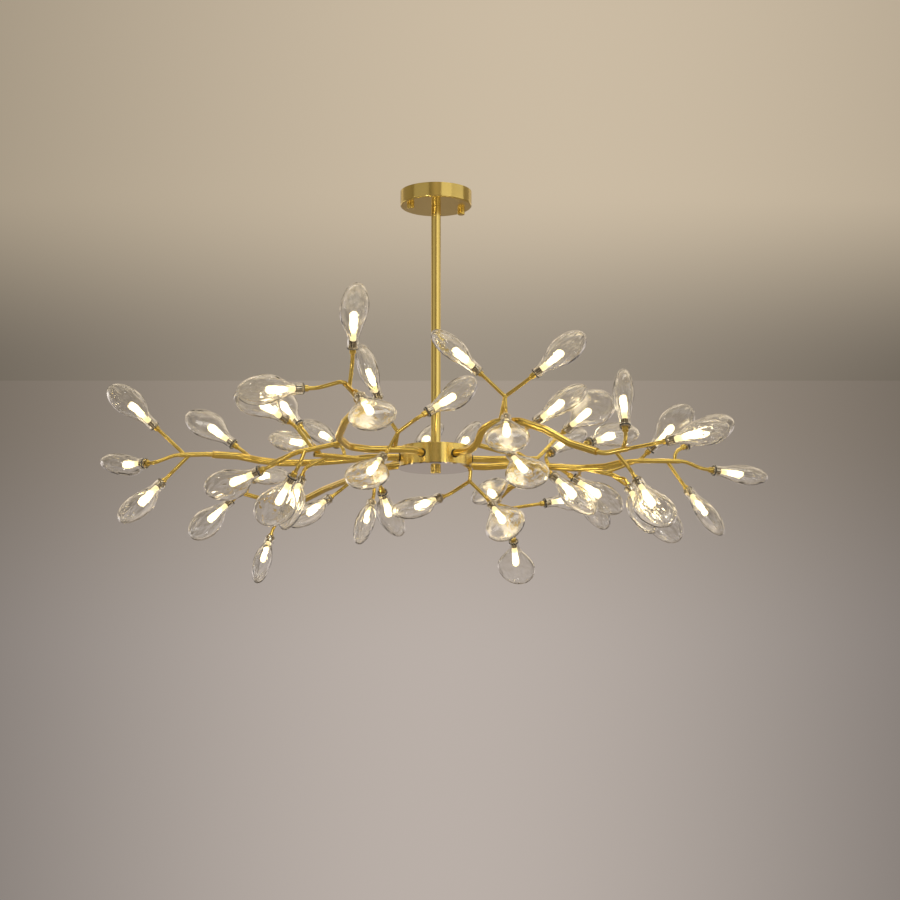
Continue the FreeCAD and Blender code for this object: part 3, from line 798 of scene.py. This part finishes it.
@dataclass
class Socket:
    """One slotted lamp socket with the toothed washer that grips the glass neck, its slots painted near-black
    as shade.
    """

    start: float = -0.0005
    end: float = 0.0125
    radius: float = 0.0054
    grip_radius: float = 0.00715
    grip_start: float = 0.001
    grip_end: float = 0.0024
    slot_start: float = 0.0035
    slot_end: float = 0.0117
    slot_depth: float = 0.0012
    slots: int = 10
    sides_per_slot: int = 3
    round_over: float = 0.0004
    slot_number: int = 1
    level_slack: float = 0.0001

    def outline(self) -> list[tuple[float, float]]:
        """Draw the socket's side.

        Returns:
            Radius and height of its points, from the middle of its foot to its lamp end.
        """
        return [
            (0.0, self.start), (self.radius - self.round_over, self.start),
            (self.radius, self.start + self.round_over), (self.radius, self.grip_start),
            (self.grip_radius - self.round_over, self.grip_start),
            (self.grip_radius, (self.grip_start + self.grip_end) / 2),
            (self.grip_radius - self.round_over, self.grip_end), (self.radius, self.grip_end),
            (self.radius, self.slot_start), (self.radius, self.slot_end),
            (self.radius, self.end - self.round_over), (self.radius - self.round_over, self.end),
            (0.0, self.end),
        ]

    def form(self) -> bmesh.types.BMesh:
        """Turn one socket and sink its slots.

        Returns:
            The closed socket, in the frame of its shade's mouth.
        """
        sides = self.slots * self.sides_per_slot
        socket = turned(self.outline(), sides)
        middle = (self.slot_start + self.slot_end) / 2
        step = math.tau / self.slots
        sunk = []
        for face in socket.faces:
            centre = face.calc_center_median()
            turn = math.atan2(centre.y, centre.x) % step
            if abs(centre.z - middle) < self.level_slack and turn < step / self.sides_per_slot:
                sunk.append(face)
        made = bmesh.ops.extrude_discrete_faces(socket, faces=sunk)["faces"]
        for face in made:
            centre = face.calc_center_median()
            inward = Vector((-centre.x, -centre.y, 0.0)).normalized() * self.slot_depth
            bmesh.ops.translate(socket, vec=inward, verts=face.verts)
        # Painted shade: the sunk slots, their side walls and the faces beside them take the near-black
        # finish, and so does the lamp end above the slots.
        slotted = set(made) | {other for face in made for side in face.edges for other in side.link_faces}
        slotted |= {face for face in socket.faces if face.calc_center_median().z > self.slot_end}
        for face in slotted:
            face.material_index = self.slot_number
        bmesh.ops.recalc_face_normals(socket, faces=socket.faces)
        return socket


@dataclass(frozen=True)
class LightFinishes:
    """What a light's pod, lamp and socket are made of."""

    glass: bpy.types.Material
    rim: bpy.types.Material
    lit: bpy.types.Material
    sleeve: bpy.types.Material
    shell: bpy.types.Material
    # Near-black finish: painted shade in the socket slots, also laid on the socket's lamp end.
    slots: bpy.types.Material


@dataclass
class Arm:
    """The lights of one arm: its glass pods, the pod at its end and its lamps."""

    name: str
    finishes: LightFinishes
    first: int

    def build(self) -> int:
        """Make the arm's pieces.

        Returns:
            The number after the arm's last light.
        """
        inner = SeatFinder(self.name + "_shades").seats(self.first)
        outer = SeatFinder(self.name + "_end_shade").seats(self.first + len(inner))
        self.pods("glass_pods", inner, "_arm", "_shades")
        self.pods("end_pod", outer, "_glass", "_end_shade")
        lamps = Piece(self.name + "_capsules", [self.finishes.lit, self.finishes.sleeve])
        sockets = Piece(self.name + "_slotted_sockets", [self.finishes.shell, self.finishes.slots])
        for seat in inner + outer:
            lamps.add(Lamp().form(), seat.place)
            sockets.add(Socket().form(), seat.place)
        lamps.done(self.name + "_arm", self.name + "_lamps")
        sockets.done(self.name + "_arm", self.name + "_sockets", smooth=False)
        return self.first + len(inner) + len(outer)

    def pods(self, name: str, seats: list[LightSeat], body: str, replaced: str) -> None:
        """Make one piece of glass pods.

        Args:
            name: The piece's name, after the arm's.
            seats: Where the pods stand.
            body: The rest of the body's name.
            replaced: The rest of the name of the CAD node that the piece stands for.
        """
        piece = Piece(self.name + "_" + name, [self.finishes.glass, self.finishes.rim])
        for seat in seats:
            piece.add(GlassPod().form(seat.number), seat.place)
        piece.done(self.name + body, self.name + replaced)


class Metalwork:
    """Finishes for the nodes whose CAD shape is the final one."""

    def __init__(self) -> None:
        """Make the finishes."""
        self.satin = MetalFinish("satin_brass", (0.88, 0.66, 0.16), (0.82, 0.59, 0.13), (0.20, 0.25),
                                 Lines.RUBBED).make()
        self.spun = MetalFinish("spun_brass", (0.90, 0.69, 0.20), (0.86, 0.64, 0.17), (0.20, 0.26),
                                Lines.SPUN, anisotropy=0.75).make()
        self.drawn = MetalFinish("drawn_brass", (0.90, 0.69, 0.20), (0.87, 0.66, 0.18), (0.17, 0.20),
                                 Lines.DRAWN, mark_depth=0.0000005).make()
        self.mirror = MetalFinish("mirror_plate", (0.46, 0.405, 0.34), (0.435, 0.38, 0.32), (0.02, 0.05),
                                  Lines.SPUN, mark_depth=0.0000005, lacquer=0.0).make()
        self.nickel = MetalFinish("dark_nickel", (0.86, 0.78, 0.60), (0.62, 0.54, 0.38), (0.10, 0.20),
                                  Lines.RUBBED, lacquer=0.0).make()
        # Near-black finish that paints the shade inside the socket slots; it also darkens the socket's lamp
        # end.
        self.slots = MetalFinish("slot_painted_shade", (0.10, 0.07, 0.04), (0.05, 0.035, 0.02), (0.45, 0.6),
                                 Lines.RUBBED, lacquer=0.0).make()
        self.zinc = MetalFinish("zinc_plate", (0.66, 0.66, 0.64), (0.52, 0.52, 0.50), (0.30, 0.42),
                                Lines.RUBBED, lacquer=0.0).make()
        self.white = MouldedFinish("white_moulding", (0.82, 0.81, 0.78), (0.74, 0.73, 0.70),
                                   (0.42, 0.55)).make()
        self.sheath = MouldedFinish("pale_sheath", (0.70, 0.68, 0.62), (0.62, 0.60, 0.54),
                                    (0.25, 0.35)).make()
        self.dark = MouldedFinish("dark_rubber", (0.045, 0.038, 0.030), (0.028, 0.024, 0.020),
                                  (0.5, 0.65)).make()

    def wear(self) -> dict[str, bpy.types.Material]:
        """Choose each node's finish.

        Returns:
            The finish by the node's name.
        """
        worn = {
            "canopy_cup": self.spun, "canopy_nuts": self.satin, "down_rod": self.drawn,
            "hub_drum": self.spun, "hub_cover_plate": self.mirror, "hub_finial": self.drawn,
            "mounting_bar": self.zinc, "canopy_studs": self.zinc, "rod_nipple": self.zinc,
            "nipple_nuts": self.zinc, "hub_stud": self.zinc, "hub_nut": self.zinc, "arm_clamps": self.zinc,
            "led_driver": self.white, "terminal_block": self.white, "hub_connector": self.white,
            "supply_cable": self.sheath, "arm_grommets": self.dark,
        }
        for arm in ARM_NAMES:
            for part in ("_main_tube", "_tip_tubes", "_twigs"):
                worn[arm + part] = self.satin
            worn[arm + "_sockets"] = self.nickel
        return worn

    def dress(self) -> None:
        """Put each node's finish on it."""
        for node, finish in self.wear().items():
            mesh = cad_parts[node].data
            mesh.materials.clear()
            mesh.materials.append(finish)
            LOG.info("%s: %s", node, finish.name)


@dataclass(frozen=True)
class Blend:
    """A surface of the room that goes from one tone to another as one looks higher up it."""

    lower: Colour
    upper: Colour
    start: float
    end: float


@dataclass(frozen=True)
class SideFall:
    """How the backdrop dims to the sides of its brightest line."""

    middle: float
    reach: float
    darkest: float


PALE_WALL = Blend((0.49, 0.43, 0.39), (0.38, 0.32, 0.26), 0.06, 0.20)
WARM_CEILING = Blend((0.335, 0.285, 0.225), (0.60, 0.50, 0.37), 0.21, 0.31)
WALL_FALL = SideFall(-0.003, 0.34, 0.36)
CEILING_FALL = SideFall(0.055, 0.50, 0.45)
WALL_TOP = 0.205
CEILING_START = 0.300


@dataclass(frozen=True)
class FarGlow:
    """Bright far sides of the room with a dark beam across, which only metal and glass show."""

    starts: tuple[float, float] = (0.24, 0.45)
    ends: tuple[float, float] = (0.75, 1.3)
    beam_rise: float = 0.288
    beam_edges: tuple[float, float] = (0.018, 0.036)
    glow: float = 1.3


@dataclass(frozen=True)
class NearDimming:
    """How much of the room's light is left behind the camera, and where it fades."""

    share: float = 0.8
    fade: tuple[float, float] = (-0.25, 0.15)


@dataclass(frozen=True)
class Panel:
    """A soft panel of light that faces the chandelier.

    The azimuth is in degrees to the viewer's right of the way back to the camera, the elevation in
    degrees above level. Size and distance from the chandelier's middle are in metres.
    """

    name: str
    azimuth: float
    elevation: float
    distance: float
    size: tuple[float, float]
    glow: float
    colour: Colour


PANELS = (
    Panel("near_window", 34.0, 10.0, 2.6, (1.5, 1.7), 0.85, (1.0, 0.97, 0.92)),
    Panel("side_window", 74.0, 10.0, 2.6, (2.1, 1.7), 0.60, (1.0, 0.97, 0.92)),
    Panel("left_window", -48.0, 10.0, 2.6, (2.4, 1.7), 0.28, (1.0, 0.97, 0.92)),
    Panel("far_left", -122.0, -2.0, 2.6, (0.8, 0.7), 1.1, (1.0, 0.96, 0.90)),
    Panel("low_window", -30.0, -14.0, 3.0, (0.32, 0.45), 12.0, (1.0, 0.98, 0.94)),
    Panel("overhead", 20.0, 74.0, 2.0, (2.2, 0.45), 2.6, (1.0, 0.95, 0.86)),
)


@dataclass
class Studio:
    """Camera, pale floor, backdrop and soft lights."""

    camera_place: tuple[float, float, float] = (0.0235, -3.247, -0.989)
    camera_rise: float = 9.6
    lens: float = 80.0
    sensor: float = 36.0
    floor_level: float = -2.1
    floor_radius: float = 9.0
    floor_sides: int = 64
    floor_cells: float = 3.0
    floor_dull: Colour = (0.56, 0.52, 0.48)
    floor_pale: Colour = (0.585, 0.546, 0.507)
    sight: float = 100.0
    bounces: int = 24
    see_through: int = 48
    middle: tuple[float, float, float] = (0.0, 0.0, -0.42)

    def build(self) -> None:
        """Set the whole studio up."""
        scene = bpy.context.scene
        scene.view_settings.view_transform = "Standard"
        scene.cycles.max_bounces = self.bounces
        scene.cycles.transmission_bounces = self.bounces
        scene.cycles.transparent_max_bounces = self.see_through
        self.set_camera()
        self.set_backdrop()
        self.set_floor()
        for panel in PANELS:
            self.hang(panel)

    def set_camera(self) -> None:
        """Stand the camera a little below the light, looking up at it."""
        data = bpy.data.cameras.new("viewer")
        data.lens = self.lens
        data.sensor_width = self.sensor
        data.clip_end = self.sight
        camera = bpy.data.objects.new("viewer", data)
        camera.location = self.camera_place
        camera.rotation_euler = (math.radians(90 + self.camera_rise), 0.0, 0.0)
        bpy.context.scene.collection.objects.link(camera)
        bpy.context.scene.camera = camera

    def set_backdrop(self) -> None:
        """A warm ceiling that meets a pale wall in a straight line, both dimmer towards the sides."""
        world = bpy.data.worlds.new("room_tone")
        bpy.context.scene.world = world
        world.use_nodes = True
        tree = world.node_tree
        tree.nodes.clear()
        direction = tree.nodes.new("ShaderNodeTexCoord")
        parts = tree.nodes.new("ShaderNodeSeparateXYZ")
        tree.links.new(direction.outputs["Generated"], parts.inputs["Vector"])
        away = self.sum_of(tree, "ABSOLUTE", parts.outputs["Y"])
        rise = self.sum_of(tree, "DIVIDE", parts.outputs["Z"], away)
        aside = self.sum_of(tree, "DIVIDE", parts.outputs["X"], away)
        above = self.sum_of(tree, "GREATER_THAN", rise, WALL_TOP)
        tone = self.mixed(tree, above, self.blend(tree, rise, PALE_WALL),
                          self.blend(tree, rise, WARM_CEILING))
        wall = self.side_fall(tree, aside, WALL_FALL)
        ceiling = self.side_fall(tree, aside, CEILING_FALL)
        share = self.ranged(tree, rise, (WALL_TOP, CEILING_START), (0.0, 1.0))
        change = self.sum_of(tree, "MULTIPLY", self.sum_of(tree, "SUBTRACT", ceiling, wall), share)
        sides = self.far_sides(tree, parts, aside, FarGlow())
        room = self.sum_of(tree, "ADD", self.sum_of(tree, "ADD", wall, change), sides)
        near = NearDimming()
        nearer = self.ranged(tree, parts.outputs["Y"], near.fade, (near.share, 1.0), smooth=True)
        power = self.sum_of(tree, "MULTIPLY", room, nearer)
        background = tree.nodes.new("ShaderNodeBackground")
        output = tree.nodes.new("ShaderNodeOutputWorld")
        tree.links.new(tone, background.inputs["Color"])
        tree.links.new(power, background.inputs["Strength"])
        tree.links.new(background.outputs["Background"], output.inputs["Surface"])

    def far_sides(self, tree: bpy.types.NodeTree, parts: bpy.types.Node, aside: bpy.types.NodeSocket,
                  far: FarGlow) -> bpy.types.NodeSocket:
        """Light the far sides of the room for every ray but the camera's own.

        Args:
            tree: The backdrop's node tree.
            parts: The node with the three parts of the direction.
            aside: How far one looks aside, over a metre of way towards the far wall.
            far: Where the sides are bright and how bright they are.

        Returns:
            The socket of the light that is added.
        """
        beyond = self.sum_of(tree, "GREATER_THAN", parts.outputs["Y"], 0.0)
        apart = self.sum_of(tree, "ABSOLUTE", aside)
        bright = self.ranged(tree, apart, far.starts, (0.0, far.glow), smooth=True)
        inner = self.ranged(tree, apart, far.ends, (1.0, 0.0), smooth=True)
        off_beam = self.sum_of(tree, "ABSOLUTE",
                               self.sum_of(tree, "SUBTRACT", parts.outputs["Z"], far.beam_rise))
        open_part = self.ranged(tree, off_beam, far.beam_edges, (0.0, 1.0), smooth=True)
        path = tree.nodes.new("ShaderNodeLightPath")
        unseen = self.sum_of(tree, "SUBTRACT", 1.0, path.outputs["Is Camera Ray"])
        shaped = self.sum_of(tree, "MULTIPLY", self.sum_of(tree, "MULTIPLY", beyond, bright),
                             self.sum_of(tree, "MULTIPLY", inner, open_part))
        return self.sum_of(tree, "MULTIPLY", shaped, unseen)

    def blend(self, tree: bpy.types.NodeTree, rise: bpy.types.NodeSocket,
              tones: Blend) -> bpy.types.NodeSocket:
        """The colour of one surface of the room, as one looks higher up it."""
        share = self.ranged(tree, rise, (tones.start, tones.end), (0.0, 1.0), smooth=True)
        return self.mixed(tree, share, (*tones.lower, 1.0), (*tones.upper, 1.0))

    def mixed(self, tree: bpy.types.NodeTree, share: bpy.types.NodeSocket, first: object,
              second: object) -> bpy.types.NodeSocket:
        """Mix two colours.

        Args:
            tree: The backdrop's node tree.
            share: How much of the second colour there is.
            first: A colour or the socket of one.
            second: Another colour or the socket of one.

        Returns:
            The socket of the mixed colour.
        """
        made = tree.nodes.new("ShaderNodeMix")
        made.data_type = "RGBA"
        tree.links.new(share, made.inputs["Factor"])
        ends = [socket for socket in made.inputs if socket.type == "RGBA"]
        for socket, colour in zip(ends, (first, second)):
            if isinstance(colour, bpy.types.NodeSocket):
                tree.links.new(colour, socket)
            else:
                socket.default_value = colour
        return next(socket for socket in made.outputs if socket.type == "RGBA")

    def sum_of(self, tree: bpy.types.NodeTree, kind: str, *parts: object) -> bpy.types.NodeSocket:
        """Work out a sum in the backdrop's nodes.

        Args:
            tree: The backdrop's node tree.
            kind: Blender's name for the sum.
            parts: Sockets or numbers that go into it.

        Returns:
            The socket of its result.
        """
        made = tree.nodes.new("ShaderNodeMath")
        made.operation = kind
        for socket, part in zip(made.inputs, parts):
            if isinstance(part, bpy.types.NodeSocket):
                tree.links.new(part, socket)
            else:
                socket.default_value = part
        return made.outputs["Value"]

    def ranged(self, tree: bpy.types.NodeTree, value: bpy.types.NodeSocket, given: tuple[float, float],
               wanted: tuple[float, float], smooth: bool = False) -> bpy.types.NodeSocket:
        """Carry a value from one range to another.

        Args:
            tree: The backdrop's node tree.
            value: The socket to carry.
            given: The range it is in.
            wanted: The range it goes to, with what lies outside held at its ends.
            smooth: Whether the change starts and ends gently.

        Returns:
            The socket of the result.
        """
        made = tree.nodes.new("ShaderNodeMapRange")
        made.interpolation_type = "SMOOTHSTEP" if smooth else "LINEAR"
        tree.links.new(value, made.inputs["Value"])
        for name, number in zip(("From Min", "From Max", "To Min", "To Max"), given + wanted):
            made.inputs[name].default_value = number
        return made.outputs["Result"]

    def side_fall(self, tree: bpy.types.NodeTree, aside: bpy.types.NodeSocket,
                  fall: SideFall) -> bpy.types.NodeSocket:
        """The share of the backdrop's light that is left away from its brightest line."""
        apart = self.sum_of(tree, "ABSOLUTE", self.sum_of(tree, "SUBTRACT", aside, fall.middle))
        return self.ranged(tree, apart, (0.0, fall.reach), (1.0, fall.darkest), smooth=True)

    def set_floor(self) -> None:
        """A wide pale floor far below the light."""
        form = bmesh.new()
        bmesh.ops.create_circle(form, cap_ends=True, segments=self.floor_sides, radius=self.floor_radius)
        bmesh.ops.translate(form, vec=(0, 0, self.floor_level), verts=form.verts)
        mesh = bpy.data.meshes.new("floor")
        form.to_mesh(mesh)
        form.free()
        sheet = Sheet("pale_floor")
        tone = sheet.tint(sheet.grain(sheet.place(), self.floor_cells), self.floor_dull, self.floor_pale)
        mesh.materials.append(sheet.finish(sheet.node("BsdfDiffuse", Color=tone).outputs["BSDF"]))
        floor = bpy.data.objects.new("floor", mesh)
        bpy.context.scene.collection.objects.link(floor)

    def hang(self, panel: Panel) -> None:
        """Hang one soft panel of light, which the camera doesn't see.

        Args:
            panel: The panel's place, size and light.
        """
        data = bpy.data.lights.new(panel.name, "AREA")
        data.shape = "RECTANGLE"
        width, height = panel.size
        data.size, data.size_y = width, height
        data.energy = panel.glow * math.pi * width * height
        data.color = panel.colour
        turn, lift = math.radians(panel.azimuth), math.radians(panel.elevation)
        outward = Vector((math.sin(turn) * math.cos(lift), -math.cos(turn) * math.cos(lift), math.sin(lift)))
        hung = bpy.data.objects.new(panel.name, data)
        hung.location = Vector(self.middle) + outward * panel.distance
        hung.rotation_euler = outward.to_track_quat("Z", "Y").to_euler()
        hung.visible_camera = False
        bpy.context.scene.collection.objects.link(hung)


def main() -> None:
    """Dress the metalwork, blow the glass, light the lamps and set the studio."""
    logging.basicConfig(level=logging.INFO, format="%(message)s")
    metalwork = Metalwork()
    metalwork.dress()
    finishes = LightFinishes(BlownGlassFinish().make(), GroundRimFinish().make(), LampFinish().make(),
                             CapsuleFinish().make(), metalwork.nickel, metalwork.slots)
    number = 1
    for name in ARM_NAMES:
        number = Arm(name, finishes, number).build()
    Studio().build()


if __name__ == "__main__":
    main()
